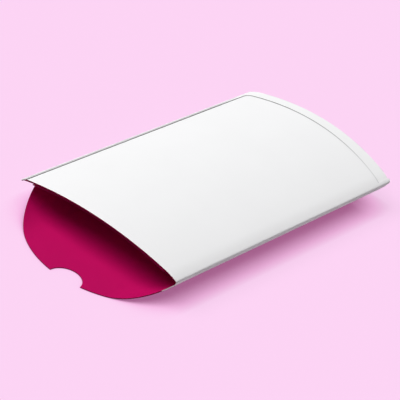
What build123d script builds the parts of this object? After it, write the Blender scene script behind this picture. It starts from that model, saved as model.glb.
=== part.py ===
from build123d import *
from math import atan2, cos, degrees, radians, sin, sqrt, tan
import os

# A pillow box folded from one sheet of coated card. It rests on its flat
# belly, with the open mouth at -X, the closed end at +X and +Z up. The origin
# is the middle of the flat underside. Lengths are in millimetres.

# The whole box
width = 90.0
length = 156.5
top_rise = 6.8
belly_drop = 14.0
board = 0.45
mouth_bow = 0.8
mouth_skew = 2.6

# Side folds and the angles, in degrees, of the belly and of the far end
fold_radius = 0.9
fold_band = 1.6
belly_angle = 66.0
end_lean = 42.5

# Glued laps under the top panel
seam_inset = 3.6
glue_thickness = 0.15
glue_margin = 1.0
glue_flap_width = 14.0
glue_flap_setback = 0.5
glue_flap_taper = 12.0
end_strip_width = 7.7
end_strip_lap = 6.0
panel_corner = 4.0

# Closing flaps
flap_inset = 5.6
flap_reach = 22.7
lip_cut = 6.5
notch_radius = 8.0
notch_sink = 0.3
notch_offset = 6.4
near_upper_inset = 7.0
near_upper_reach = 13.0
far_upper_inset = 5.0
far_upper_reach = 16.0
crease_gap = 0.3
floor_clearance = 0.1
near_lower_travel = 75.0
far_upper_travel = 15.0
overrun = 5.0

# The two sides of the box
left = 1
right = -1

# Shares of the top panel's chord angle at the end of its crown and at its feet
crown_share = 0.74
foot_share = 1.68
# Share of the flap's raised ends at which its hinge line lies
hinge_share = 0.63

half = width / 2
mouth_x = -length / 2
far_x = length / 2
fold_level = belly_drop
lean = radians(end_lean)
chord_angle = 2 * atan2(top_rise, half)
crown_angle = crown_share * chord_angle
foot_angle = foot_share * chord_angle
side_angle = radians(belly_angle)
lap_drop = board / cos(foot_angle) + glue_thickness
split_level = fold_level - lap_drop
far_bow = top_rise * tan(lean)
line_x = far_x - end_strip_width
left_mouth_x = mouth_x - mouth_skew
right_mouth_x = mouth_x + mouth_skew
skew_angle = atan2(mouth_skew, half)


def corner_half_width():
    """Half width of the outline before its side folds are rounded."""
    corner = foot_angle + side_angle
    tilt = (side_angle - foot_angle) / 2
    return half + fold_radius * (cos(tilt) / sin(corner / 2) - 1)


def arch_radii(half_span, rise):
    """Radii of the crown and of the haunches, which meet in one tangent."""
    across = sin(crown_angle)
    across_foot = sin(foot_angle) - across
    fall = 1 - cos(crown_angle)
    fall_foot = cos(crown_angle) - cos(foot_angle)
    scale = across * fall_foot - across_foot * fall
    crown = (half_span * fall_foot - rise * across_foot) / scale
    haunch = (rise * across - half_span * fall) / scale
    return crown, haunch


def on_circle(centre, radius, angle):
    """Point on a circle, with the angle taken from straight up."""
    return (centre[0] + radius * sin(angle), centre[1] + radius * cos(angle))


corner_half = corner_half_width()
crown_radius, haunch_radius = arch_radii(corner_half, top_rise)
crown_top = fold_level + top_rise
belly_radius = fold_level / (1 - cos(side_angle))
floor_half = corner_half - belly_radius * sin(side_angle)


def belly_height(y):
    """Height of the belly's outer face at a distance from the middle."""
    beyond = max(abs(y) - floor_half, 0)
    return belly_radius - sqrt(belly_radius**2 - beyond**2)


def sharp_outline():
    """Face inside the tube's outer contour, with sharp side corners."""
    crown_centre = (0, crown_top - crown_radius)
    joint = on_circle(crown_centre, crown_radius, crown_angle)
    haunch_centre = (
        joint[0] - haunch_radius * sin(crown_angle),
        joint[1] - haunch_radius * cos(crown_angle),
    )
    haunch_middle = on_circle(haunch_centre, haunch_radius, (crown_angle + foot_angle) / 2)
    corner = (corner_half, fold_level)
    belly_middle = (
        floor_half + belly_radius * sin(side_angle / 2),
        belly_radius * (1 - cos(side_angle / 2)),
    )
    floor_end = (floor_half, 0)

    def mirrored(point):
        return (-point[0], point[1])

    edges = [
        ThreePointArc(mirrored(joint), (0, crown_top), joint),
        ThreePointArc(joint, haunch_middle, corner),
        ThreePointArc(corner, belly_middle, floor_end),
        Line(floor_end, mirrored(floor_end)),
        ThreePointArc(mirrored(floor_end), mirrored(belly_middle), mirrored(corner)),
        ThreePointArc(mirrored(corner), mirrored(haunch_middle), mirrored(joint)),
    ]
    return make_face(edges)


def rounded(face):
    """The face with its two side corners rounded as folds."""
    corners = face.vertices().sort_by(Axis.X)
    return fillet([corners[0], corners[-1]], radius=fold_radius)


def window(y_low, y_high, z_low, z_high):
    """Rectangle of the cross section between two places and two heights."""
    centre = ((y_low + y_high) / 2, (z_low + z_high) / 2)
    return Pos(*centre) * Rectangle(y_high - y_low, z_high - z_low)


sharp = sharp_outline()
outer = rounded(sharp)
inner = offset(outer, amount=-board)
lap_outer = rounded(sharp & (Pos(0, -lap_drop) * sharp))
lap_inner = offset(lap_outer, amount=-board)
card = outer - inner
lap_card = lap_outer - lap_inner

above = crown_top + overrun
below = -overrun
panel_edge = half - fold_band
outside = half + overrun


def run(section, x_low, x_high):
    """Cross section carried along the box."""
    return extrude(Plane.YZ.offset(x_low) * section, amount=x_high - x_low)


def end_plane(distance):
    """Leaning plane of the far end, moved outward by a distance."""
    outward = Vector(cos(lean), 0, -sin(lean))
    origin = Vector(far_x, 0, fold_level) + outward * distance
    return Plane(origin=origin, x_dir=(0, 1, 0), z_dir=outward)


def before_end(solid, distance=0):
    """The part of a solid on the box's side of the far end's plane."""
    return split(solid, bisect_by=end_plane(distance), keep=Keep.BOTTOM)


def beyond_end(solid, distance=0):
    """The part of a solid outside the far end's plane."""
    return split(solid, bisect_by=end_plane(distance), keep=Keep.TOP)


def bowed_plan(x_low, bow_low, x_high, bow_high, y_low, y_high, skew=0):
    """Plan between two bowed edges, the low one also turned by a skew."""
    low_left = (x_low - skew, half)
    low_right = (x_low + skew, -half)
    low = ThreePointArc(low_right, (x_low + bow_low, 0), low_left)
    high = ThreePointArc((x_high, half), (x_high + bow_high, 0), (x_high, -half))
    left = Line(low_left, (x_high, half))
    right = Line((x_high, -half), low_right)
    whole = make_face([low, left, high, right])
    span = abs(x_high - x_low) + 2 * (abs(bow_low) + abs(bow_high) + overrun)
    middle = ((x_low + x_high) / 2, (y_low + y_high) / 2)
    return whole & (Pos(*middle) * Rectangle(span, y_high - y_low))


def upright(plan):
    """Plan carried from below the box to above it."""
    return extrude(Plane.XY.offset(below) * plan, amount=above - below)


def lip_wedge(side):
    """Wedge that cuts the lower lip of one fold back to the flap's round edge."""
    half_span = half - flap_inset
    radius = (half_span**2 + flap_reach**2) / (2 * flap_reach)
    deep_y = sqrt(radius**2 - (lip_cut + flap_reach - radius) ** 2)
    start_x = left_mouth_x - overrun
    points = [
        (start_x, fold_level),
        (mouth_x - side * mouth_skew, fold_level),
        (mouth_x + lip_cut, belly_height(deep_y)),
        (mouth_x, belly_height(half_span)),
        (start_x, belly_height(half_span)),
    ]
    side_view = make_face(Polyline(*points, close=True))
    return extrude(Plane.XZ * side_view, amount=-side * outside)


def top_panel():
    """Curved top, glued down along its left and far edges."""
    left_edge = half - seam_inset
    section = card & window(-panel_edge, left_edge, split_level, above)
    plan = bowed_plan(mouth_x, -mouth_bow, line_x, far_bow, -panel_edge, left_edge, mouth_skew)
    corner = plan.vertices().sort_by(Axis.X)[-2:].sort_by(Axis.Y)[-1]
    plan = fillet(corner, radius=panel_corner)
    return run(section, mouth_x - overrun, far_x + overrun) & upright(plan)


def bottom_panel():
    """Belly with the flat underside that the box rests on."""
    section = card & window(-panel_edge, panel_edge, below, split_level)
    belly = before_end(run(section, mouth_x, far_x + overrun))
    return belly - lip_wedge(left) - lip_wedge(right)


def right_fold():
    """Rounded fold between the belly and the top panel."""
    section = card & window(-outside, -panel_edge, below, above)
    return before_end(run(section, right_mouth_x, far_x + overrun)) - lip_wedge(right)


def left_fold():
    """Rounded fold between the belly and the glue flap."""
    section = lap_card & window(panel_edge, outside, below, above)
    return before_end(run(section, left_mouth_x, far_x + overrun)) - lip_wedge(left)


def glue_flap():
    """Lap along the left side, under the top panel, with a tapered mouth end."""
    inner_edge = half - glue_flap_width
    near = left_mouth_x + glue_flap_setback
    far = line_x - end_strip_lap - crease_gap
    plan = make_face(
        Polyline(
            (near, panel_edge),
            (near + glue_flap_taper, inner_edge),
            (far, inner_edge),
            (far, panel_edge),
            close=True,
        )
    )
    section = lap_card & window(inner_edge, panel_edge, split_level, above)
    return run(section, left_mouth_x, far_x) & upright(plan)


def end_strip():
    """Lap across the far end, half under the top panel and half in view."""
    start = line_x - end_strip_lap
    plan = bowed_plan(start, far_bow, far_x + overrun, far_bow, -panel_edge, panel_edge)
    section = lap_card & window(-panel_edge, panel_edge, split_level, above)
    return before_end(run(section, mouth_x, far_x + 2 * overrun) & upright(plan))


def glue_layer(plan, y_low, y_high):
    """Glue that fills the gap between the two plies over a plan."""
    section = (inner - lap_outer) & window(y_low, y_high, split_level, above)
    return run(section, mouth_x, far_x + overrun) & upright(plan)


def seam_glue():
    """Glue line along the left seam."""
    low = half - glue_flap_width + glue_margin
    high = half - seam_inset - glue_margin
    near = mouth_x + glue_flap_setback + glue_flap_taper
    far = line_x - end_strip_lap - glue_margin
    middle = ((near + far) / 2, (low + high) / 2)
    plan = Pos(*middle) * Rectangle(far - near, high - low)
    return glue_layer(plan, low, high)


def end_glue():
    """Glue line across the far end."""
    low = -panel_edge + glue_margin
    high = half - seam_inset - panel_corner
    start = line_x - end_strip_lap + glue_margin
    plan = bowed_plan(start, far_bow, line_x - glue_margin, far_bow, low, high)
    return glue_layer(plan, low, high)


def notch_disc(edge_x):
    """Disc that cuts the thumb notch, its centre just inside the flap's edge."""
    return Pos(edge_x, -notch_offset) * Circle(notch_radius)


def flap_plan(root_x, half_span, reach, side):
    """Plan of a flap with a straight root and one round free edge."""
    tip = (root_x + side * reach, 0)
    arc = ThreePointArc((root_x, -half_span), tip, (root_x, half_span))
    return make_face([arc, Line((root_x, half_span), (root_x, -half_span))])


near_flap_half = half - flap_inset
near_hinge_level = hinge_share * belly_height(near_flap_half)
near_hinge_x = mouth_x - crease_gap


def near_lower_flap():
    """Open flap that carries on the belly, with the thumb notch in its edge."""
    section = card & window(-near_flap_half, near_flap_half, below, split_level)
    plan = flap_plan(mouth_x, near_flap_half, flap_reach, -1)
    plan -= notch_disc(mouth_x - flap_reach + notch_sink)
    flap = run(section, mouth_x - flap_reach - overrun, mouth_x - crease_gap) & upright(plan)
    travel = radians(near_lower_travel)
    slant = Plane(
        origin=(near_hinge_x - board / cos(travel / 2), 0, near_hinge_level),
        x_dir=(0, 1, 0),
        z_dir=(cos(travel / 2), 0, sin(travel / 2)),
    )
    return split(flap, bisect_by=slant, keep=Keep.BOTTOM)


def near_upper_flap():
    """Second flap of the mouth, folded in flat under the top panel."""
    drop = lap_drop + board / cos(foot_angle) + crease_gap
    half_span = half - near_upper_inset
    shell = (Pos(0, -drop) * sharp) - (Pos(0, -drop - board) * sharp)
    section = shell & window(-half_span, half_span, split_level - drop, above)
    plan = flap_plan(crease_gap, half_span, near_upper_reach, 1)
    plan = Pos(mouth_x, 0) * Rot(0, 0, degrees(skew_angle)) * plan
    return run(section, left_mouth_x, mouth_x + near_upper_reach + overrun) & upright(plan)


def end_lens(face, inside, outside_distance):
    """Flat plate of the far end, cut from a face carried along the box."""
    prism = run(face, mouth_x, far_x + belly_drop + 2 * overrun)
    return before_end(beyond_end(prism, inside), outside_distance)


def end_slope(height):
    """Distance up the far end's plane from its lowest line to a height."""
    return height / cos(lean)


def lean_prism(face, distance):
    """Face drawn on the far end's plane, carried through the plates there."""
    plane = end_plane(distance)
    return extrude(plane * face, amount=overrun, both=True)


def far_lower_flap():
    """Outer closing flap, which stands on the belly's end and leans out."""
    foot = -end_slope(fold_level - board - floor_clearance)
    tip = foot + flap_reach
    arc = ThreePointArc((-half, 0), (0, tip), (half, 0))
    face = make_face([arc, Polyline((half, 0), (half, foot), (-half, foot), (-half, 0))])
    face -= Pos(-notch_offset, tip - notch_sink) * Circle(notch_radius)
    return end_lens(outer, crease_gap, crease_gap + board) & lean_prism(face, 0)


def far_upper_flap():
    """Inner closing flap, which hangs from the end strip behind the outer one."""
    lens = offset(lap_inner, amount=-crease_gap)
    top = end_slope(crown_top - lap_drop - fold_level)
    half_span = half - far_upper_inset
    arc = ThreePointArc((-half_span, 0), (0, top - far_upper_reach), (half_span, 0))
    face = make_face([arc, Polyline((half_span, 0), (half_span, top), (-half_span, top), (-half_span, 0))])
    flap = end_lens(lens, -crease_gap - board, -crease_gap) & lean_prism(face, 0)
    hinge_level = crown_top - lap_drop - board
    hinge_x = far_x + (hinge_level - fold_level) * tan(lean) - crease_gap / cos(lean)
    hinge = Axis((hinge_x, 0, hinge_level), (0, 1, 0))
    swung_tube = run(lens, mouth_x, far_x + width).rotate(hinge, -far_upper_travel)
    return flap & swung_tube


nodes = {
    "top_panel": top_panel,
    "bottom_panel": bottom_panel,
    "right_fold": right_fold,
    "left_fold": left_fold,
    "glue_flap": glue_flap,
    "end_strip": end_strip,
    "seam_glue": seam_glue,
    "end_glue": end_glue,
    "near_lower_flap": near_lower_flap,
    "near_upper_flap": near_upper_flap,
    "far_lower_flap": far_lower_flap,
    "far_upper_flap": far_upper_flap,
}

os.makedirs("parts", exist_ok=True)
for name, build in nodes.items():
    solid = build()
    export_step(solid, f"parts/{name}.step")
    print(name, "volume", solid.volume)
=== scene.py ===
import math

import bpy
import numpy as np
from mathutils import Matrix, Vector


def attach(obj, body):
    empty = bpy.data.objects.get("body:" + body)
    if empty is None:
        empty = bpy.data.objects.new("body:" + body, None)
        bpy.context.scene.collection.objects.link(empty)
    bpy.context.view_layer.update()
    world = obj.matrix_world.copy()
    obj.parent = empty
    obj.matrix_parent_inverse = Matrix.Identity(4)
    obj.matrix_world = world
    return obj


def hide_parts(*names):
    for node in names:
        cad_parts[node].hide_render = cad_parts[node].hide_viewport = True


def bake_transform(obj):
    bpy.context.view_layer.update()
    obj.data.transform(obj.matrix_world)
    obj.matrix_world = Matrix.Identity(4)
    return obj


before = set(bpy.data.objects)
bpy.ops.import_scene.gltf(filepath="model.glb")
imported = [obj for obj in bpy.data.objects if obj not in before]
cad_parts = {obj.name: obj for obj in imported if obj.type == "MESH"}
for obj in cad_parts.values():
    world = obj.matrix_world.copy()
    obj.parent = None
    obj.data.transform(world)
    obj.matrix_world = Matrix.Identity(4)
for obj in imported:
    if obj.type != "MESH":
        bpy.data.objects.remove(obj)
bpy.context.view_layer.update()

# A pillow box of folded card, white outside and magenta inside, on a pink table.
# Lengths are in millimetres until a mesh is made, with the mouth at -X, the
# closed end at +X and the flat underside at z = 0.

MM = 0.001

# The whole box
WIDTH = 90.0
LENGTH = 156.5
TOP_RISE = 6.8
BELLY_DROP = 14.0
BOARD = 0.45
MOUTH_BOW = 0.8
MOUTH_SKEW = 2.6

# Side folds, the angles of belly and far end
FOLD_RADIUS = 0.9
FOLD_BAND = 1.6
BELLY_ANGLE = math.radians(66.0)
END_LEAN = math.radians(42.5)

# Angles where the arch's crown ends and at its foot, as shares of the angle at the
# foot of one plain arc with the same width and rise
CROWN_SHARE = 0.74
FOOT_SHARE = 1.68

# Glued laps
SEAM_INSET = 3.6
GLUE_THICKNESS = 0.15
GLUE_FLAP_WIDTH = 14.0
GLUE_FLAP_SETBACK = 0.5
GLUE_FLAP_TAPER = 12.0
END_STRIP_WIDTH = 7.7
END_STRIP_LAP = 6.0
PANEL_CORNER = 4.0

# Closing flaps
FLAP_INSET = 5.6
FLAP_REACH = 22.7
LIP_CUT = 6.5
NOTCH_RADIUS = 8.0
NOTCH_SINK = 0.3
NOTCH_OFFSET = 6.4
NEAR_UPPER_INSET = 7.0
NEAR_UPPER_REACH = 13.0
FAR_UPPER_INSET = 5.0
FAR_UPPER_REACH = 16.0
CREASE_GAP = 0.3
FLOOR_CLEARANCE = 0.1
FAR_UPPER_TRAVEL = math.radians(15.0)

# Cut edges of the card: their chamfer, how far below the folds' level the top's mouth
# edge is painted dark as shade, and how far in from the mouth the upper flap's edge is
EDGE_CHAMFER = 0.05
EDGE_SHADE_DROP = 0.6
EDGE_SHADE_BAND = 4.0

# Room over the inner end flap's shoulders when it swings, and between the outer end
# flap and the arch
SWING_ROOM = 0.1
ARCH_ROOM = 0.15

# How far before their full half widths the outer end flap's arc, its card and the
# mouth's upper flap end
END_ARC_ROOM = 0.5
END_TIP_ROOM = 0.9
UPPER_TIP_ROOM = 0.4

# Points in a table of lengths or heights, and in the search for the inner end flap's
# shoulders
LOOKUP_POINTS = 20001
SHOULDER_POINTS = 2001

# Rows of the blank, panel by panel, and those in a thumb notch
TOP_ROWS = 150
FOLD_ROWS = 22
BELLY_ROWS = 181
GLUE_ROWS = 24
STRIP_ROWS = 120
NOTCH_ROWS = 61

# Extra rows of the belly at the lips, from so far inside the flap's corner to so far
# inside the panel's edge
LIP_ROWS = 24
LIP_BAND = (2.0, 0.1)

# Columns of the blank in their three runs, how far the first two end before and after
# the mouth, the least length of a run, and the crowding towards a busy edge
BLANK_COLUMNS = (12, 14, 44)
OUTSIDE_RUN = 5.0
CREASE_RUN = 3.0
LEAST_RUN = 1.5
CROWDING = 0.9

# Rows and columns of the other flaps
UPPER_FLAP_ROWS = 121
UPPER_FLAP_COLUMNS = 20
OUTER_FLAP_ROWS = 301
OUTER_FLAP_COLUMNS = 32
INNER_FLAP_ROWS = 201
INNER_FLAP_COLUMNS = 24

# Hair's breadth between two rows where the outline jumps, and the angle from which an
# edge is sharp
HAIR = 0.01
SHARP_ANGLE = math.radians(25)

HALF = WIDTH / 2
MOUTH_X = -LENGTH / 2
FAR_X = LENGTH / 2
FOLD_LEVEL = BELLY_DROP
PLAIN_FOOT = 2 * math.atan2(TOP_RISE, HALF)
CROWN = CROWN_SHARE * PLAIN_FOOT
FOOT = FOOT_SHARE * PLAIN_FOOT
LAP_DROP = BOARD / math.cos(FOOT) + GLUE_THICKNESS
FAR_BOW = TOP_RISE * math.tan(END_LEAN)
LINE_X = FAR_X - END_STRIP_WIDTH
PANEL_EDGE = HALF - FOLD_BAND
SEAM = HALF - SEAM_INSET
GLUE_EDGE = HALF - GLUE_FLAP_WIDTH
FLAP_HALF = HALF - FLAP_INSET


# The cross section

def corner_half_width():
    """Half width to the sharp corner that the side fold rounds off: the half width,
    plus the fold's radius times what cos(tilt) over sin(half the corner) is above 1."""
    corner = FOOT + BELLY_ANGLE
    tilt = (BELLY_ANGLE - FOOT) / 2
    return HALF + FOLD_RADIUS * (math.cos(tilt) / math.sin(corner / 2) - 1)


CORNER_HALF = corner_half_width()
BELLY_RADIUS = FOLD_LEVEL / (1 - math.cos(BELLY_ANGLE))
FLOOR_HALF = CORNER_HALF - BELLY_RADIUS * math.sin(BELLY_ANGLE)


def arch_radii():
    """Crown and haunch radii: the widths of the two arcs add up to the half width, and
    their falls to the rise, which gives two sums for the two radii."""
    across, fall = math.sin(CROWN), 1 - math.cos(CROWN)
    across_foot = math.sin(FOOT) - across
    fall_foot = math.cos(CROWN) - math.cos(FOOT)
    scale = across * fall_foot - across_foot * fall
    crown = (CORNER_HALF * fall_foot - TOP_RISE * across_foot) / scale
    return crown, (TOP_RISE * across - CORNER_HALF * fall) / scale


CROWN_RADIUS, HAUNCH_RADIUS = arch_radii()


def crossing(first, first_radius, second, second_radius):
    """The outer of the two points where two circles cross, from their centres' distance."""
    gap = second - first
    distance = np.hypot(*gap)
    along = (distance**2 + first_radius**2 - second_radius**2) / (2 * distance)
    aside = math.sqrt(first_radius**2 - along**2)
    unit = gap / distance
    normal = np.array([-unit[1], unit[0]])
    points = [first + along * unit + side * aside * normal for side in (-1, 1)]
    return max(points, key=lambda point: point[0])


def arcs_at(drop):
    """Arcs of half the section, as (centre, radius, first angle, last angle).

    Crown, haunch, side fold and belly follow each other in common tangents. The
    angle is that of the outward normal from straight up. The crown and haunch
    are lowered by drop, and the fold touches haunch and belly from inside."""
    crown = np.array([0, FOLD_LEVEL + TOP_RISE - CROWN_RADIUS - drop])
    between = CROWN_RADIUS - HAUNCH_RADIUS
    haunch = crown + between * np.array([math.sin(CROWN), math.cos(CROWN)])
    belly = np.array([FLOOR_HALF, BELLY_RADIUS])
    fold = crossing(haunch, HAUNCH_RADIUS - FOLD_RADIUS, belly, BELLY_RADIUS - FOLD_RADIUS)
    start = math.atan2(*(fold - haunch))
    end = math.atan2(*(fold - belly))
    return [
        (crown, CROWN_RADIUS, 0, CROWN),
        (haunch, HAUNCH_RADIUS, CROWN, start),
        (fold, FOLD_RADIUS, start, end),
        (belly, BELLY_RADIUS, end, math.pi),
    ]


class Section:
    """Half a cross section, measured by the length s along its outer face from the crown."""

    def __init__(self, drop=0.0):
        """The arcs at a drop, the s where each ends (the sum of radius times angle up
        to it), and tables of y and s above and below the widest place."""
        self.arcs = arcs_at(drop)
        self.knots = np.cumsum([0] + [r * (b - a) for _, r, a, b in self.arcs])
        self.total = self.knots[-1] + FLOOR_HALF
        s = np.linspace(0, self.total, LOOKUP_POINTS)
        y, _ = self.at(s)
        widest = int(np.argmax(y))
        self.upper = (y[: widest + 1], s[: widest + 1])
        self.lower = (y[widest:][::-1], s[widest:][::-1])

    def at(self, s, depth=0.0):
        """Place at s and a depth under the outer face: the arc's centre plus its
        radius less depth, along the normal; past the arcs, the flat floor."""
        s = np.asarray(s, float)
        y = FLOOR_HALF - (s - self.knots[-1])
        z = np.full_like(s, depth)
        for (centre, radius, first, _), low, high in zip(self.arcs, self.knots, self.knots[1:]):
            here = (s >= low) & (s <= high)
            angle = first + (s[here] - low) / radius
            y[here] = centre[0] + (radius - depth) * np.sin(angle)
            z[here] = centre[1] + (radius - depth) * np.cos(angle)
        return y, z

    def above(self, y):
        """s on the upper side at a distance y from the middle."""
        return float(np.interp(y, *self.upper))

    def below(self, y):
        """s on the belly's side at a distance y from the middle."""
        return float(np.interp(y, *self.lower))

    def from_crown(self, t, depth):
        """Place at a signed length t from the crown, plus to the left."""
        y, z = self.at(np.abs(t), depth)
        return np.sign(t) * y, z

    def from_floor(self, b, depth):
        """Place at a signed length b from the middle of the floor."""
        y, z = self.at(self.total - np.abs(b), depth)
        return np.sign(b) * y, z


OUTER = Section()
LAP = Section(LAP_DROP)
UPPER_FLAP_DROP = LAP_DROP + BOARD / math.cos(FOOT) + CREASE_GAP
FOLDED_IN = Section(UPPER_FLAP_DROP)


# Outlines along the box. An edge is a function of y and z that gives x, and an edge of
# a flat end flap one of y and the distance out that gives the height up the slope.

def circle_through(first, second, third):
    """Centre and radius of the circle through three points: the centre is as far
    from each of them, which gives two sums of its two places."""
    points = np.array([first, second, third], float)
    sides = 2 * (points[1:] - points[0])
    squares = (points[1:] ** 2).sum(1) - (points[0] ** 2).sum()
    centre = np.linalg.solve(sides, squares)
    return centre, float(np.hypot(*(points[0] - centre)))


def arc_edge(right_x, middle_x, left_x, half_span):
    """Edge along the circle through (right_x, -half_span), (middle_x, 0) and (left_x,
    half_span): x is the centre's, less or plus the root of radius squared less the
    square of y's distance from the centre."""
    centre, radius = circle_through((right_x, -half_span), (middle_x, 0), (left_x, half_span))
    side = math.copysign(1, middle_x - centre[0])
    return lambda y, z: centre[0] + side * np.sqrt(np.maximum(radius**2 - (y - centre[1]) ** 2, 0))


def bowed(x, bow, half_span):
    """Edge square across the box that bows by a given amount at the middle."""
    return arc_edge(x, x + bow, x, half_span)


def leaning(y, z):
    """Edge in the far end's plane, which moves out by the lean's tangent with height."""
    return FAR_X + (z - FOLD_LEVEL) * math.tan(END_LEAN)


def panel_far_edge(y, z):
    """Far edge of the top panel: the bowed line, and a quarter round of radius
    PANEL_CORNER where it meets the left edge, each tangent to the other."""
    line = bowed(LINE_X, FAR_BOW, HALF)(y, z)
    big = (HALF**2 + FAR_BOW**2) / (2 * FAR_BOW)
    centre_x = LINE_X + FAR_BOW - big
    middle_y = SEAM - PANEL_CORNER
    corner_x = centre_x + math.sqrt((big - PANEL_CORNER) ** 2 - middle_y**2)
    touch_y = big * middle_y / (big - PANEL_CORNER)
    rounded = corner_x + np.sqrt(np.maximum(PANEL_CORNER**2 - (y - middle_y) ** 2, 0))
    return np.where(y > touch_y, rounded, line)


flap_edge = bowed(MOUTH_X, -FLAP_REACH, FLAP_HALF)
top_mouth_edge = arc_edge(MOUTH_X + MOUTH_SKEW, MOUTH_X - MOUTH_BOW, MOUTH_X - MOUTH_SKEW, HALF)


def lip_line(y, z):
    """Cut edge of a fold's lower lip, straight in side view: from the fold's tip it
    goes inward by LIP_CUT while it falls to the flap's round edge."""
    centre, radius = circle_through((MOUTH_X, -FLAP_HALF), (MOUTH_X - FLAP_REACH, 0), (MOUTH_X, FLAP_HALF))
    deep_y = math.sqrt(radius**2 - (MOUTH_X + LIP_CUT - centre[0]) ** 2)
    deep_level = BELLY_RADIUS - math.sqrt(BELLY_RADIUS**2 - (deep_y - FLOOR_HALF) ** 2)
    tip = MOUTH_X - np.sign(y) * MOUTH_SKEW
    return tip + (MOUTH_X + LIP_CUT - tip) * (FOLD_LEVEL - z) / (FOLD_LEVEL - deep_level)


def fold_mouth_edge(y, z):
    """Mouth end of a side fold: the top panel's edge above, the lip's line below."""
    return np.where(z > FOLD_LEVEL, top_mouth_edge(y, z), lip_line(y, z))


def belly_mouth_edge(y, z):
    """Mouth end of the belly and its flap: the nearer of the lip's line and the flap's
    arc, with the thumb notch, a circle whose centre lies NOTCH_SINK inside the tip."""
    line = np.minimum(lip_line(y, z), flap_edge(y, z))
    across = NOTCH_RADIUS**2 - (y + NOTCH_OFFSET) ** 2
    disc = MOUTH_X - FLAP_REACH + NOTCH_SINK + np.sqrt(np.maximum(across, 0))
    return np.where(across > 0, np.maximum(line, disc), line)


def glue_mouth_edge(y, z):
    """Mouth end of the glue flap, slanted by its taper from the fold to its free edge."""
    share = (PANEL_EDGE - y) / (PANEL_EDGE - GLUE_EDGE)
    return MOUTH_X - MOUTH_SKEW + GLUE_FLAP_SETBACK + GLUE_FLAP_TAPER * share


# Sheets of card as closed meshes

def spaced(low, high, count, crowd_low=0.0, crowd_high=0.0):
    """Numbers from low to high, closer together towards a crowded end: a share of
    the spacing follows the quarter of a cosine."""
    share = np.linspace(0, 1, count)
    low_share = 1 - np.cos(share * math.pi / 2)
    high_share = np.sin(share * math.pi / 2)
    mixed = share + crowd_low * (low_share - share) + crowd_high * (high_share - share)
    return low + (high - low) * mixed


def boundary(rows, columns):
    """Numbers of a grid's points round its border, in order."""
    number = np.arange(rows * columns).reshape(rows, columns)
    return np.concatenate([number[:-1, 0], number[-1, :-1], number[:0:-1, -1], number[0, :0:-1]])


def card_mesh(name, grid, thickness, materials, edge_shade_where=None, shade_map=None):
    """Closed sheet of card.

    grid(depth, pull) gives the sheet's points at a depth under its outer face, with
    every edge pulled in. The outer face is grid(0, c), the inner one is
    grid(thickness, c), and the cut edge joins them by two rings at the full outline,
    c from either face, which leaves a chamfer of c on each side. The faces take the
    first two materials, and the rim the third, or the fourth where edge_shade_where is
    true of its middle. shade_map gives each point of the outer face its place in the
    second map, and all other points stay at 1. The sum of the corners' triple
    products is the volume six times over, and where it is below 0 the faces look
    inward and are turned."""
    c = EDGE_CHAMFER
    faces_at = [(0, c), (c, 0), (thickness - c, 0), (thickness, c)]
    outer, ring_out, ring_in, inner = (grid(depth, pull) for depth, pull in faces_at)
    rows, columns = outer.shape[:2]
    edge = boundary(rows, columns)
    total = rows * columns
    points = np.concatenate([
        outer.reshape(-1, 3), inner.reshape(-1, 3),
        ring_out.reshape(-1, 3)[edge], ring_in.reshape(-1, 3)[edge],
    ])
    number = np.arange(total).reshape(rows, columns)
    quads = np.stack([number[:-1, :-1], number[1:, :-1], number[1:, 1:], number[:-1, 1:]], -1).reshape(-1, 4)
    count = len(edge)
    loops = [edge, 2 * total + np.arange(count), 2 * total + count + np.arange(count), total + edge]
    strips = [
        np.stack([a, b, np.roll(b, -1), np.roll(a, -1)], -1) for a, b in zip(loops, loops[1:])
    ]
    faces = np.concatenate([quads, total + quads[:, ::-1]] + strips)
    corner = points[faces]
    volume = np.einsum("ij,ij->", corner[:, 0], np.cross(corner[:, 1], corner[:, 2]))
    volume += np.einsum("ij,ij->", corner[:, 0], np.cross(corner[:, 2], corner[:, 3]))
    if volume < 0:
        faces = faces[:, ::-1]
    kinds = np.concatenate([np.zeros(len(quads)), np.ones(len(quads)), np.full(3 * count, 2)]).astype(int)
    rim = kinds == 2

    surface = np.stack(np.meshgrid(np.linspace(0, 1, rows), np.linspace(0, 1, columns), indexing="ij"), -1)
    walk = np.concatenate([[0], np.cumsum(np.linalg.norm(np.diff(points[edge], axis=0), axis=1))])
    depth_share = np.array([0, c / thickness, 1 - c / thickness, 1])
    uv = np.zeros((len(points), 2))
    uv[: 2 * total] = np.tile(surface.reshape(-1, 2), (2, 1))
    uv_corner = uv[faces]
    edge_uv = np.zeros((len(points), 2))
    for loop, share in zip(loops, depth_share):
        edge_uv[loop] = np.stack([walk * MM, np.full(count, share)], -1)
    uv_corner[rim] = edge_uv[faces[rim]]
    # Rim faces picked by the mask take the fourth material, a cut edge painted dark as its shade
    if edge_shade_where is not None:
        kinds[rim] = 2 + edge_shade_where(points[faces[rim]].mean(axis=1)).astype(int)

    mesh = bpy.data.meshes.new(name)
    mesh.from_pydata((points * MM).tolist(), [], faces.tolist())
    mesh.polygons.foreach_set("material_index", kinds)
    mesh.polygons.foreach_set("use_smooth", np.ones(len(faces), bool))
    card_layer = mesh.uv_layers.new(name="card")
    card_layer.data.foreach_set("uv", uv_corner.reshape(-1))
    shade_uv = np.ones((len(points), 2))
    if shade_map is not None:
        shade_uv[:total] = shade_map(outer).reshape(-1, 2)
    step_layer = mesh.uv_layers.new(name="step")
    step_layer.data.foreach_set("uv", shade_uv[faces].reshape(-1))
    for material in materials:
        mesh.materials.append(material)
    mesh.update()
    mesh.set_sharp_from_angle(angle=SHARP_ANGLE)
    piece = bpy.data.objects.new(name, mesh)
    bpy.context.scene.collection.objects.link(piece)
    return piece


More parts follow.
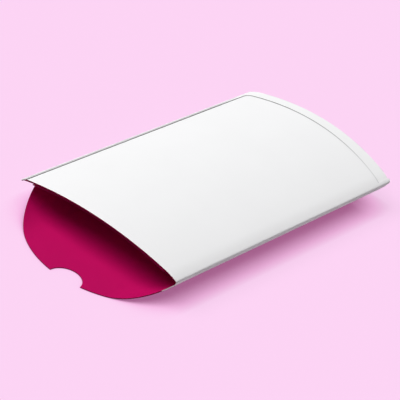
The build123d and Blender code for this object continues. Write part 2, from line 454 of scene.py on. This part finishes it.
def columns_between(low, high, counts):
    """Places along the box from a low edge to a high one, a row for each station.

    Three runs of columns share out each row: up to OUTSIDE_RUN before the mouth,
    across the mouth's crease, and on to the high edge. Each run is at least LEAST_RUN
    long, so rows that start further in keep the same columns, and the last one is
    closer towards the high edge."""
    outside = np.maximum(MOUTH_X - OUTSIDE_RUN, low + LEAST_RUN)
    inside = np.maximum(MOUTH_X + CREASE_RUN, outside + LEAST_RUN)
    ends = [low, outside, inside, high]
    runs = []
    for first, last, count, crowd in zip(ends, ends[1:], counts, (0, 0, CROWDING)):
        shares = spaced(0, 1, count + 1, crowd_high=crowd)[:-1]
        runs.append(first[:, None] + (last - first)[:, None] * shares)
    return np.concatenate(runs + [high[:, None]], axis=1)


def sheet_grid(segments, counts):
    """Grid over segments of one sheet, which follow each other across the box.

    A segment is its place function, its stations and its low and high edges. The
    point at a station and a depth is the section's place there, at a column between
    the two edges, and all outer edges are pulled in."""
    first = segments[0][1][0]
    last = segments[-1][1][-1]

    def grid(depth, pull):
        """All segments' rows at a depth, with the sheet's outer edges pulled in."""
        rows = []
        for place, stations, low_edge, high_edge in segments:
            inward = np.sign(stations[-1] - stations[0]) * pull
            pulled = np.where(stations == first, stations + inward, stations)
            pulled = np.where(pulled == last, pulled - inward, pulled)
            y, z = place(pulled, depth)
            x = columns_between(low_edge(y, z) + pull, high_edge(y, z) - pull, counts)
            ones = np.ones_like(x)
            rows.append(np.stack([x, y[:, None] * ones, z[:, None] * ones], -1))
        return np.concatenate(rows)

    return grid


def swept_grid(place, stations, low_edge, high_edge, columns):
    """Grid over stations across the box and even shares along it, with the point at
    low edge plus share times the edges' distance, and the edges pulled in."""
    shares = np.linspace(0, 1, columns)

    def grid(depth, pull):
        """Low edge plus share times width, at each station's place at the depth."""
        pulled = np.clip(stations, stations[0] + pull, stations[-1] - pull)
        y, z = place(pulled, depth)
        low = low_edge(y, z) + pull
        high = high_edge(y, z) - pull
        x = low[:, None] + (high - low)[:, None] * shares
        ones = np.ones(columns)
        return np.stack([x, y[:, None] * ones, z[:, None] * ones], -1)

    return grid


def end_grid(stations, foot_of, top_of, distance, columns):
    """Grid over a flat plate in the far end's plane.

    y and h are the plate's own directions, h up the slope. The point is the fold
    line's place, plus h along (sin lean, 0, cos lean), plus the distance and less
    the depth along the outward (cos lean, 0, -sin lean)."""
    shares = np.linspace(0, 1, columns)
    sin, cos = math.sin(END_LEAN), math.cos(END_LEAN)

    def grid(depth, pull):
        """Foot plus share times height up the slope, where foot and top never cross."""
        out = distance - depth
        y = np.clip(stations, stations[0] + pull, stations[-1] - pull)
        low, high = foot_of(y, out) + pull, top_of(y, out) - pull
        middle = (low + high) / 2
        low, high = np.minimum(low, middle), np.maximum(high, middle)
        h = low[:, None] + (high - low)[:, None] * shares
        x = FAR_X + h * sin + out * cos
        z = FOLD_LEVEL + h * cos - out * sin
        return np.stack([x, y[:, None] * np.ones(columns), z], -1)

    return grid


# Materials

WHITE = (0.905, 0.905, 0.912)
MAGENTA = (0.47, 0.0012, 0.098)
# Dark magenta painted on cut edges at the mouth as their shade
EDGE_SHADE_MAGENTA = (0.17, 0.001, 0.035)
PLAIN = (1, 1, 1)
GLUE = (0.86, 0.84, 0.74)

# Mottling and grain that all finishes share
MOTTLE_SCALE = 45
MOTTLE_DETAIL = 3
MOTTLE_SPAN = (0.3, 0.7)
GRAIN_STRETCH = (0.45, 1.0, 1.0)
GRAIN_DETAIL = 5
GRAIN_ROUGHNESS = 0.6
GRAIN_BUMP = 0.35
GLOSS_SPREAD = 0.05

# Scale of each finish's grain, and its height in millimetres
COATED_GRAIN = (2600, 0.012)
CUT_GRAIN = (6000, 0.03)
EDGE_SHADE_GRAIN = (6000, 0.02)
GLUE_GRAIN = (900, 0.02)

# Colours of the card's layers at shares of its thickness, from the white coat to the
# magenta print
CUT_LAYERS = [
    (0.0, (0.97, 0.97, 0.97)), (0.12, (0.86, 0.85, 0.84)), (0.5, (0.80, 0.78, 0.76)),
    (0.86, (0.84, 0.82, 0.81)), (0.93, MAGENTA),
]

# Levels of the shade at distances in centimetres from the top ply's free edge, plus
# on that ply and minus on the laps beside it
STEP_SHADE = [
    (-0.31, 1.0), (-0.26, 0.64), (-0.10, 0.54), (0.0, 0.40), (0.018, 0.05), (0.060, 0.06), (0.088, 1.0),
]
MM_IN_CM = 10

# Points on the free edge's far line and seam line, how far inside the right fold's
# outermost line the far line starts, and the shade's reach
FAR_LINE_POINTS = 2500
SEAM_LINE_POINTS = 1200
FREE_EDGE_START = 0.6
SHADE_REACH = 9.0

# Strength of the shade: on the top ply it rises from the least at the first y to 1 at
# the second, and on the laps it is 0 up to so far before the fine line at the far end
# and reaches 1 over so many millimetres more
LEAST_SHADE = 0.22
TOP_FADE = (-35.0, 30.0)
LAP_FADE_START = 3.0
LAP_FADE_LENGTH = 14.0


def nodes_of(material):
    """Node and link lists of a material or world, with its tree emptied."""
    material.use_nodes = True
    tree = material.node_tree
    for node in list(tree.nodes):
        tree.nodes.remove(node)
    return tree.nodes, tree.links


def ramp_of(nodes, stops):
    """Colour ramp through the given stops, each a place and a colour, in rising order.

    A new ramp has two elements, and one is added for each stop beyond the second."""
    ramp = nodes.new("ShaderNodeValToRGB")
    elements = ramp.color_ramp.elements
    for place, _ in stops[2:]:
        elements.new(place)
    for element, (place, colour) in zip(elements, stops):
        element.position = place
        element.color = tuple(colour) + (1,)
    return ramp


def mapped(nodes, links, layer):
    """The two places, X and Y, of one of the card's maps."""
    unwrap = nodes.new("ShaderNodeUVMap")
    unwrap.uv_map = layer
    split = nodes.new("ShaderNodeSeparateXYZ")
    links.new(unwrap.outputs["UV"], split.inputs["Vector"])
    return split.outputs


def multiplied(nodes, links, first, second):
    """Mix node that multiplies a colour by another one, in full."""
    mix = nodes.new("ShaderNodeMix")
    mix.data_type = "RGBA"
    mix.blend_type = "MULTIPLY"
    mix.inputs["Factor"].default_value = 1.0
    links.new(first, mix.inputs["A"])
    links.new(second, mix.inputs["B"])
    return mix


def noise_of(nodes, links, vector, scale, detail, roughness=0.5):
    """Output of a noise texture on a vector."""
    noise = nodes.new("ShaderNodeTexNoise")
    noise.inputs["Scale"].default_value = scale
    noise.inputs["Detail"].default_value = detail
    noise.inputs["Roughness"].default_value = roughness
    links.new(vector, noise.inputs["Vector"])
    return noise.outputs["Fac"]


def step_shade(nodes, links, colour):
    """Darkens a colour along the top ply's free edge, where the two plies make a step.

    The shade is a run of levels over the second map's distance, spread from 0 to 1,
    and the map's strength is the share of it that is mixed in."""
    low, high = STEP_SHADE[0][0], STEP_SHADE[-1][0]
    place = mapped(nodes, links, "step")
    span = nodes.new("ShaderNodeMapRange")
    span.inputs["From Min"].default_value = low
    span.inputs["From Max"].default_value = high
    links.new(place["X"], span.inputs["Value"])
    levels = ramp_of(nodes, [((at - low) / (high - low), (level,) * 3) for at, level in STEP_SHADE])
    links.new(span.outputs["Result"], levels.inputs["Fac"])
    shaded = multiplied(nodes, links, colour, levels.outputs["Color"])
    links.new(place["Y"], shaded.inputs["Factor"])
    return shaded.outputs["Result"]


def ply_layers(nodes, links, colour, layers):
    """Multiplies a colour by the card's layers, a run of colours through its thickness."""
    place = mapped(nodes, links, "card")
    plies = ramp_of(nodes, layers)
    links.new(place["Y"], plies.inputs["Fac"])
    return multiplied(nodes, links, plies.outputs["Color"], colour).outputs["Result"]


def finish_material(name, colour, roughness, mottling, grain, specular, layers=None, shaded_step=False):
    """Card finish on Object coordinates.

    A soft noise lightens and darkens the colour by the mottling. A finer noise is the
    fibre grain, drawn out along the box, as bump and as roughness: grain is its scale
    and its height in millimetres. layers colour a cut edge through its thickness, and
    shaded_step adds the shade along the top ply's free edge."""
    grain_scale, grain_height = grain
    material = bpy.data.materials.new(name)
    nodes, links = nodes_of(material)
    output = nodes.new("ShaderNodeOutputMaterial")
    shader = nodes.new("ShaderNodeBsdfPrincipled")
    links.new(shader.outputs[0], output.inputs[0])
    shader.inputs["Specular IOR Level"].default_value = specular
    where = nodes.new("ShaderNodeTexCoord").outputs["Object"]

    dark = [c * (1 - mottling) for c in colour]
    light = [min(c * (1 + mottling), 1) for c in colour]
    mottled = ramp_of(nodes, [(MOTTLE_SPAN[0], dark), (MOTTLE_SPAN[1], light)])
    links.new(noise_of(nodes, links, where, MOTTLE_SCALE, MOTTLE_DETAIL), mottled.inputs["Fac"])
    colour_out = mottled.outputs["Color"]
    if shaded_step:
        colour_out = step_shade(nodes, links, colour_out)
    if layers:
        colour_out = ply_layers(nodes, links, colour_out, layers)
    links.new(colour_out, shader.inputs["Base Color"])

    stretch = nodes.new("ShaderNodeMapping")
    stretch.inputs["Scale"].default_value = GRAIN_STRETCH
    links.new(where, stretch.inputs["Vector"])
    fibres = noise_of(nodes, links, stretch.outputs["Vector"], grain_scale, GRAIN_DETAIL, GRAIN_ROUGHNESS)
    span = nodes.new("ShaderNodeMapRange")
    span.inputs["To Min"].default_value = roughness - GLOSS_SPREAD
    span.inputs["To Max"].default_value = roughness + GLOSS_SPREAD
    links.new(fibres, span.inputs["Value"])
    links.new(span.outputs["Result"], shader.inputs["Roughness"])
    bump = nodes.new("ShaderNodeBump")
    bump.inputs["Strength"].default_value = GRAIN_BUMP
    bump.inputs["Distance"].default_value = grain_height * MM
    links.new(fibres, bump.inputs["Height"])
    links.new(bump.outputs["Normal"], shader.inputs["Normal"])
    return material


white_coat = finish_material(
    "white coated card", WHITE, roughness=0.55, mottling=0.006, grain=COATED_GRAIN, specular=0.12,
    shaded_step=True,
)
magenta_print = finish_material(
    "magenta printed card", MAGENTA, roughness=0.5, mottling=0.03, grain=COATED_GRAIN, specular=0.15
)
cut_board = finish_material(
    "cut board edge", PLAIN, roughness=0.8, mottling=0.04, grain=CUT_GRAIN, specular=0.2, layers=CUT_LAYERS
)
glue_film = finish_material(
    "dried glue film", GLUE, roughness=0.3, mottling=0.05, grain=GLUE_GRAIN, specular=0.4
)
# Painted shade: cut edges at the mouth are dark magenta, as they look in shadow, instead of the pale board
shaded_cut_edge = finish_material(
    "cut edge in painted shade", EDGE_SHADE_MAGENTA, roughness=0.6, mottling=0.05, grain=EDGE_SHADE_GRAIN, specular=0.05
)
CARD = (white_coat, magenta_print, cut_board, shaded_cut_edge)
MOUTH_CARD = (magenta_print, white_coat, cut_board, shaded_cut_edge)


# The pieces of card

def notch_stations(low, high, count, at):
    """Stations from low to high, with pairs close beside the two ends of the notch.

    at gives the station at a y. Across the notch, y is its middle plus its radius
    times the sine of even angles."""
    base = np.linspace(low, high, count)
    spread = NOTCH_RADIUS * np.sin(np.linspace(-math.pi / 2, math.pi / 2, NOTCH_ROWS))
    inside = at(-NOTCH_OFFSET + spread)
    keep = (base < inside[0] - HAIR) | (base > inside[-1] + HAIR)
    sides = [inside[0] - HAIR, inside[-1] + HAIR]
    return np.unique(np.concatenate([base[keep], inside, sides]))


def height_table(section, depth, upper):
    """Heights of a section's face against the distance from the middle."""
    s = np.linspace(0, section.total, LOOKUP_POINTS)
    y, z = section.at(s, depth)
    widest = int(np.argmax(y))
    if upper:
        return y[: widest + 1], z[: widest + 1]
    return y[widest:][::-1], z[widest:][::-1]


outer_top = height_table(OUTER, 0, True)
outer_floor = height_table(OUTER, 0, False)
belly_reach = OUTER.total - OUTER.below(PANEL_EDGE)
top_edge_s = OUTER.above(PANEL_EDGE)
lap_edge_s = LAP.above(PANEL_EDGE)
glue_edge_s = LAP.above(GLUE_EDGE)


def floor_length(y):
    """Signed length from the floor's middle at a distance y, on the belly's side."""
    y = np.atleast_1d(y)
    s = np.interp(np.abs(y), *OUTER.lower)
    return np.sign(y) * (OUTER.total - s)


def belly_stations():
    """Stations over the belly from right to left, closer at the notch and the lips."""
    base = notch_stations(-belly_reach, belly_reach, BELLY_ROWS, floor_length)
    lip = floor_length(np.linspace(FLAP_HALF - LIP_BAND[0], PANEL_EDGE - LIP_BAND[1], LIP_ROWS))
    return np.unique(np.concatenate([base, lip, -lip]))


def free_edge():
    """Points along the top ply's free edge: its far line, and then its seam line."""
    y = np.linspace(-HALF + FREE_EDGE_START, SEAM, FAR_LINE_POINTS)
    z = np.interp(np.abs(y), *outer_top)
    far = np.stack([panel_far_edge(y, z), y, z], -1)
    x = np.linspace(MOUTH_X - MOUTH_SKEW, far[-1, 0], SEAM_LINE_POINTS)
    ones = np.ones(SEAM_LINE_POINTS)
    seam = np.stack([x, SEAM * ones, z[-1] * ones], -1)
    return np.concatenate([far, seam])


def nearest(points, line):
    """Distance from each point of a grid to the nearest point of a line, row by row."""
    return np.array([np.linalg.norm(row[:, None] - line, axis=-1).min(axis=1) for row in points])


def shade_places(outer):
    """Second map of the blank's outer face, for the shade along the top ply's free edge.

    The first place is the distance from that edge in centimetres, up to the shade's
    reach, plus on the top ply, minus on the left fold and the glue flap beside it, and
    1 elsewhere. The second is the shade's strength, which on the top ply fades to its
    least towards the right, and on the laps to nothing towards the far end."""
    top_end, _, belly_end, _, glue_end, _ = np.cumsum([len(stations) for _, stations, _, _ in blank])
    row = np.arange(outer.shape[0])
    on_top = row < top_end
    on_laps = (row >= belly_end) & (row < glue_end)
    x, y, _ = np.moveaxis(outer, -1, 0)
    place = np.ones(outer.shape[:2] + (2,))
    line = free_edge()
    for here, sign in ((on_top, 1), (on_laps, -1)):
        place[here, :, 0] = sign * np.minimum(nearest(outer[here], line), SHADE_REACH) / MM_IN_CM
    rise = np.clip((y - TOP_FADE[0]) / (TOP_FADE[1] - TOP_FADE[0]), 0, 1)
    place[..., 1] = np.clip((LINE_X - LAP_FADE_START - x) / LAP_FADE_LENGTH, 0, 1)
    place[on_top, :, 1] = LEAST_SHADE + (1 - LEAST_SHADE) * rise[on_top]
    return place


# One blank of card makes the tube: top panel, right fold, belly with its mouth
# flap, left fold, glue flap and end strip, in the order in which it is wrapped.
blank = [
    (OUTER.from_crown, spaced(OUTER.above(SEAM), -top_edge_s, TOP_ROWS, crowd_low=CROWDING),
     top_mouth_edge, panel_far_edge),
    (OUTER.from_crown, np.linspace(-top_edge_s - HAIR, -OUTER.below(PANEL_EDGE), FOLD_ROWS),
     fold_mouth_edge, leaning),
    (OUTER.from_floor, belly_stations()[1:-1], belly_mouth_edge, leaning),
    (LAP.from_crown, np.linspace(LAP.below(PANEL_EDGE), lap_edge_s, FOLD_ROWS),
     fold_mouth_edge, leaning),
    (LAP.from_crown, np.linspace(lap_edge_s - HAIR, glue_edge_s, GLUE_ROWS),
     glue_mouth_edge, leaning),
    (LAP.from_crown, np.linspace(glue_edge_s - HAIR, -lap_edge_s, STRIP_ROWS),
     bowed(LINE_X - END_STRIP_LAP, FAR_BOW, HALF), leaning),
]


# Painted shade: these rims take the dark magenta of the edge shade
def shaded_mouth_rim(points):
    """True where a rim point lies on the mouth's lower flap or on the top's mouth edge."""
    flap = points[:, 2] < FOLD_LEVEL / 2
    top = points[:, 2] > FOLD_LEVEL - EDGE_SHADE_DROP
    return (points[:, 0] < MOUTH_X + LIP_CUT) & (flap | top)


blank_card = card_mesh(
    "folded_blank", sheet_grid(blank, BLANK_COLUMNS), BOARD, CARD,
    edge_shade_where=shaded_mouth_rim, shade_map=shade_places,
)

skew_angle = math.atan2(MOUTH_SKEW, HALF)
upper_half = HALF - NEAR_UPPER_INSET


def upper_root(y, z):
    """Root of the mouth's upper flap, a line beside the crease, turned by the skew."""
    return MOUTH_X + CREASE_GAP / math.cos(skew_angle) - y * math.tan(skew_angle)


# Painted shade: the rim beside the upper flap's root takes the dark magenta of the edge shade
def shaded_upper_rim(points):
    """True where a rim point lies beside the root of the mouth's upper flap."""
    return points[:, 0] < MOUTH_X + EDGE_SHADE_BAND


def turned_by_skew(x, y):
    """Plan point turned by the skew round the middle of the mouth."""
    turned = complex(math.cos(skew_angle), math.sin(skew_angle)) * complex(x, y)
    return MOUTH_X + turned.real, turned.imag


upper_centre, upper_radius = circle_through(
    turned_by_skew(CREASE_GAP, -upper_half),
    turned_by_skew(CREASE_GAP + NEAR_UPPER_REACH, 0),
    turned_by_skew(CREASE_GAP, upper_half),
)


def upper_tip(y, z):
    """Free edge of the mouth's upper flap, the circle through its ends and its tip."""
    return upper_centre[0] + np.sqrt(np.maximum(upper_radius**2 - (y - upper_centre[1]) ** 2, 0))


upper_reach = FOLDED_IN.above(upper_half - UPPER_TIP_ROOM)
upper_stations = np.linspace(-upper_reach, upper_reach, UPPER_FLAP_ROWS)
upper_grid = swept_grid(
    FOLDED_IN.from_crown, upper_stations, upper_root, upper_tip, UPPER_FLAP_COLUMNS
)
mouth_upper_card = card_mesh(
    "mouth_upper_flap_card", upper_grid, BOARD, MOUTH_CARD, edge_shade_where=shaded_upper_rim
)

LEAN_COSINE = math.cos(END_LEAN)


def slope_of(z, out):
    """Distance up the far end's plane to a height, on a plane moved out: the height
    over the folds plus the move times the lean's sine, divided by its cosine."""
    return (z - FOLD_LEVEL + out * math.sin(END_LEAN)) / LEAN_COSINE


def arc_over(y, half_span, base, tip):
    """Height at y of the circle through (half_span, base) on both sides and (0, tip).

    Its radius is the sum of the squares of half span and rise over twice the rise,
    and the arc falls from the tip by the radius less the root of its square less y's."""
    rise = tip - base
    radius = (half_span**2 + rise**2) / (2 * abs(rise))
    fall = radius - np.sqrt(np.maximum(radius**2 - y**2, 0))
    return tip - math.copysign(1, rise) * fall


outer_foot = -(FOLD_LEVEL - BOARD - FLOOR_CLEARANCE) / LEAN_COSINE
outer_tip = outer_foot + FLAP_REACH


def outer_flap_foot(y, out):
    """Lower edge of the outer end flap: the belly's outline, but no lower than the foot."""
    return np.maximum(slope_of(np.interp(np.abs(y), *outer_floor), out), outer_foot)


def outer_flap_top(y, out):
    """Upper edge of the outer end flap: the lower of the arch and its own arc, with
    the thumb notch's circle taken out."""
    arch = slope_of(np.interp(np.abs(y), *outer_top), out)
    line = np.minimum(arch - ARCH_ROOM, arc_over(y, HALF - END_ARC_ROOM, 0, outer_tip))
    across_notch = NOTCH_RADIUS**2 - (y + NOTCH_OFFSET) ** 2
    disc = outer_tip - NOTCH_SINK - np.sqrt(np.maximum(across_notch, 0))
    return np.where(across_notch > 0, np.minimum(line, disc), line)


end_reach = HALF - END_TIP_ROOM
end_stations = notch_stations(-end_reach, end_reach, OUTER_FLAP_ROWS, lambda y: y)
outer_end_grid = end_grid(
    end_stations, outer_flap_foot, outer_flap_top, CREASE_GAP + BOARD, OUTER_FLAP_COLUMNS
)
end_outer_card = card_mesh("end_outer_flap_card", outer_end_grid, BOARD, CARD)

inside_depth = BOARD + CREASE_GAP
lap_top = height_table(LAP, inside_depth, True)
inner_top_level = (TOP_RISE - LAP_DROP) / LEAN_COSINE


def inner_flap_foot(y, out):
    """Lower edge of the inner end flap, an arc that hangs by the flap's reach."""
    half_span = HALF - FAR_UPPER_INSET
    return arc_over(y, half_span, 0, inner_top_level - FAR_UPPER_REACH)


def inner_flap_top(y, out):
    """Upper edge of the inner end flap: under the lap, and low enough at its shoulders
    to pass under the arch when it swings in. Swung, a point h up the slope stands at
    h times the cosine of lean and travel together, plus the height that h = 0 has."""
    arch = np.interp(np.abs(y), *lap_top)
    hinge_z = FOLD_LEVEL + TOP_RISE - LAP_DROP - BOARD
    hinge_x = FAR_X + (hinge_z - FOLD_LEVEL) * math.tan(END_LEAN) - CREASE_GAP / math.cos(END_LEAN)
    ahead = FAR_X + out * math.cos(END_LEAN) - hinge_x
    over = FOLD_LEVEL - out * math.sin(END_LEAN) - hinge_z
    base = hinge_z - ahead * math.sin(FAR_UPPER_TRAVEL) + over * math.cos(FAR_UPPER_TRAVEL)
    swung = (arch - SWING_ROOM - base) / math.cos(END_LEAN + FAR_UPPER_TRAVEL)
    return np.minimum(slope_of(arch, out), swung)


def inner_flap_reach():
    """Half width of the inner end flap: the furthest y at which its face is still more
    than four chamfers high, twice what the chamfers at top and foot take from it."""
    y = np.linspace(0, HALF - FAR_UPPER_INSET, SHOULDER_POINTS)
    height = inner_flap_top(y, -inside_depth) - inner_flap_foot(y, -inside_depth)
    return float(y[height > 4 * EDGE_CHAMFER].max())


inner_reach = inner_flap_reach()
inner_stations = np.linspace(-inner_reach, inner_reach, INNER_FLAP_ROWS)
inner_end_grid = end_grid(
    inner_stations, inner_flap_foot, inner_flap_top, -CREASE_GAP, INNER_FLAP_COLUMNS
)
end_inner_card = card_mesh("end_inner_flap_card", inner_end_grid, BOARD, CARD)


# What each piece rides on and stands for

SLEEVE_NODES = ("top_panel", "right_fold", "bottom_panel", "left_fold", "glue_flap", "end_strip")
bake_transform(blank_card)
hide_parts(*SLEEVE_NODES, "near_lower_flap")

RIDES = [
    (mouth_upper_card, "mouth_upper", "near_upper_flap", "magenta_card"),
    (end_outer_card, "end_outer", "far_lower_flap", "white_card"),
    (end_inner_card, "end_inner", "far_upper_flap", "white_card"),
]
for piece, body, node, slot in RIDES:
    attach(piece, body)
    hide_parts(node)
for node in ("seam_glue", "end_glue"):
    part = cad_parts[node]
    part.data.materials.clear()
    part.data.materials.append(glue_film)


# Table, light and camera

# Colours of the table as it is seen and as it lights the box, the share of it that
# shows its own colour, and half its size in metres
FLOOR_SEEN = (0.975, 0.655, 0.905)
FLOOR_BOUNCE = (0.64, 0.57, 0.62)
FLOOR_OWN_SHARE = 0.85
FLOOR_HALF_SIZE = 3.0

# Contact shade beside the box: its reach in metres, its samples, and its colours by
# how open the table's surface is there
CONTACT_REACH = 0.0125
CONTACT_SAMPLES = 16
CONTACT_SHADE = [(0.30, (0.42, 0.13, 0.295)), (0.72, (0.90, 0.46, 0.76)), (1.0, FLOOR_SEEN)]

# Sides that the lamps shine from, their widths in degrees and their strengths
KEY_SIDE = (-0.40, 0.47, 1.0)
KEY_WIDTH = 42
KEY_POWER = 3.27
FILL_SIDE = (-1.0, -0.1, 0.35)
FILL_WIDTH = 70
FILL_POWER = 0.45
SKY_POWER = 0.08

# Camera: its angles, its distance and the point it aims at in metres, and its sensor
# and lens in millimetres
ELEVATION = math.radians(31.9002)
HEADING = math.radians(56.7273)
ROLL = math.radians(15.4881)
DISTANCE = 0.89911
AIM = Vector((-0.0180657, -0.0076345, 0.0135))
SENSOR_WIDTH = 36
LENS = 181.4


def table_material():
    """Matt pink that shows its own colour to camera, glossy and transmission rays.

    Those rays see it by emission at FLOOR_OWN_SHARE, darkened by the contact shade,
    over a diffuse surface that takes the box's shadow. All other rays meet a paler
    diffuse surface."""
    material = bpy.data.materials.new("pink table")
    nodes, links = nodes_of(material)
    output = nodes.new("ShaderNodeOutputMaterial")
    path = nodes.new("ShaderNodeLightPath")
    looked_at = path.outputs["Is Camera Ray"]
    for ray in ("Is Glossy Ray", "Is Transmission Ray"):
        either = nodes.new("ShaderNodeMath")
        either.operation = "MAXIMUM"
        links.new(looked_at, either.inputs[0])
        links.new(path.outputs[ray], either.inputs[1])
        looked_at = either.outputs[0]

    plain = nodes.new("ShaderNodeMix")
    plain.data_type = "RGBA"
    plain.inputs["A"].default_value = FLOOR_BOUNCE + (1,)
    plain.inputs["B"].default_value = FLOOR_SEEN + (1,)
    links.new(looked_at, plain.inputs["Factor"])
    matt = nodes.new("ShaderNodeBsdfDiffuse")
    links.new(plain.outputs["Result"], matt.inputs["Color"])

    openness = nodes.new("ShaderNodeAmbientOcclusion")
    openness.samples = CONTACT_SAMPLES
    openness.inputs["Distance"].default_value = CONTACT_REACH
    tint = ramp_of(nodes, CONTACT_SHADE)
    links.new(openness.outputs["AO"], tint.inputs["Fac"])
    seen = nodes.new("ShaderNodeEmission")
    links.new(tint.outputs["Color"], seen.inputs["Color"])

    own_share = nodes.new("ShaderNodeMath")
    own_share.operation = "MULTIPLY"
    own_share.inputs[1].default_value = FLOOR_OWN_SHARE
    links.new(looked_at, own_share.inputs[0])
    both = nodes.new("ShaderNodeMixShader")
    links.new(own_share.outputs[0], both.inputs["Fac"])
    links.new(matt.outputs[0], both.inputs[1])
    links.new(seen.outputs[0], both.inputs[2])
    links.new(both.outputs[0], output.inputs[0])
    return material


floor_mesh = bpy.data.meshes.new("table")
corners = [(x * FLOOR_HALF_SIZE, y * FLOOR_HALF_SIZE, 0) for x, y in ((-1, -1), (1, -1), (1, 1), (-1, 1))]
floor_mesh.from_pydata(corners, [], [(0, 1, 2, 3)])
floor_mesh.materials.append(table_material())
floor = bpy.data.objects.new("table", floor_mesh)
bpy.context.scene.collection.objects.link(floor)


def white_sky(power):
    """White world of one even strength."""
    world = bpy.data.worlds.new("studio")
    nodes, links = nodes_of(world)
    output = nodes.new("ShaderNodeOutputWorld")
    sky = nodes.new("ShaderNodeBackground")
    sky.inputs["Color"].default_value = (1, 1, 1, 1)
    sky.inputs["Strength"].default_value = power
    links.new(sky.outputs[0], output.inputs[0])
    return world


bpy.context.scene.world = white_sky(SKY_POWER)


def soft_sun(name, side, width, power):
    """A sun lamp that shines from a side, with shadows as soft as its width in degrees."""
    lamp = bpy.data.lights.new(name, "SUN")
    lamp.angle = math.radians(width)
    lamp.energy = power
    obj = bpy.data.objects.new(name, lamp)
    obj.rotation_euler = Vector(side).to_track_quat("Z", "Y").to_euler()
    bpy.context.scene.collection.objects.link(obj)


soft_sun("key", KEY_SIDE, KEY_WIDTH, KEY_POWER)
soft_sun("fill", FILL_SIDE, FILL_WIDTH, FILL_POWER)


def camera_turn():
    """The camera's forward and its turn, from heading, elevation and roll.

    Right is +X turned by the heading, forward falls by the elevation, and the two
    axes of the picture are right and up turned by the roll."""
    right = Vector((math.cos(HEADING), -math.sin(HEADING), 0))
    level = math.cos(ELEVATION)
    forward = Vector((math.sin(HEADING) * level, math.cos(HEADING) * level, -math.sin(ELEVATION)))
    up = right.cross(forward)
    x_axis = math.cos(ROLL) * right + math.sin(ROLL) * up
    y_axis = -math.sin(ROLL) * right + math.cos(ROLL) * up
    return forward, Matrix((x_axis, y_axis, -forward)).transposed().to_4x4()


cam_data = bpy.data.cameras.new("camera")
cam_data.sensor_width = SENSOR_WIDTH
cam_data.lens = LENS
camera = bpy.data.objects.new("camera", cam_data)
forward, turn = camera_turn()
camera.matrix_world = Matrix.Translation(AIM - DISTANCE * forward) @ turn
bpy.context.scene.collection.objects.link(camera)
bpy.context.scene.camera = camera

bpy.context.scene.view_settings.view_transform = "Standard"
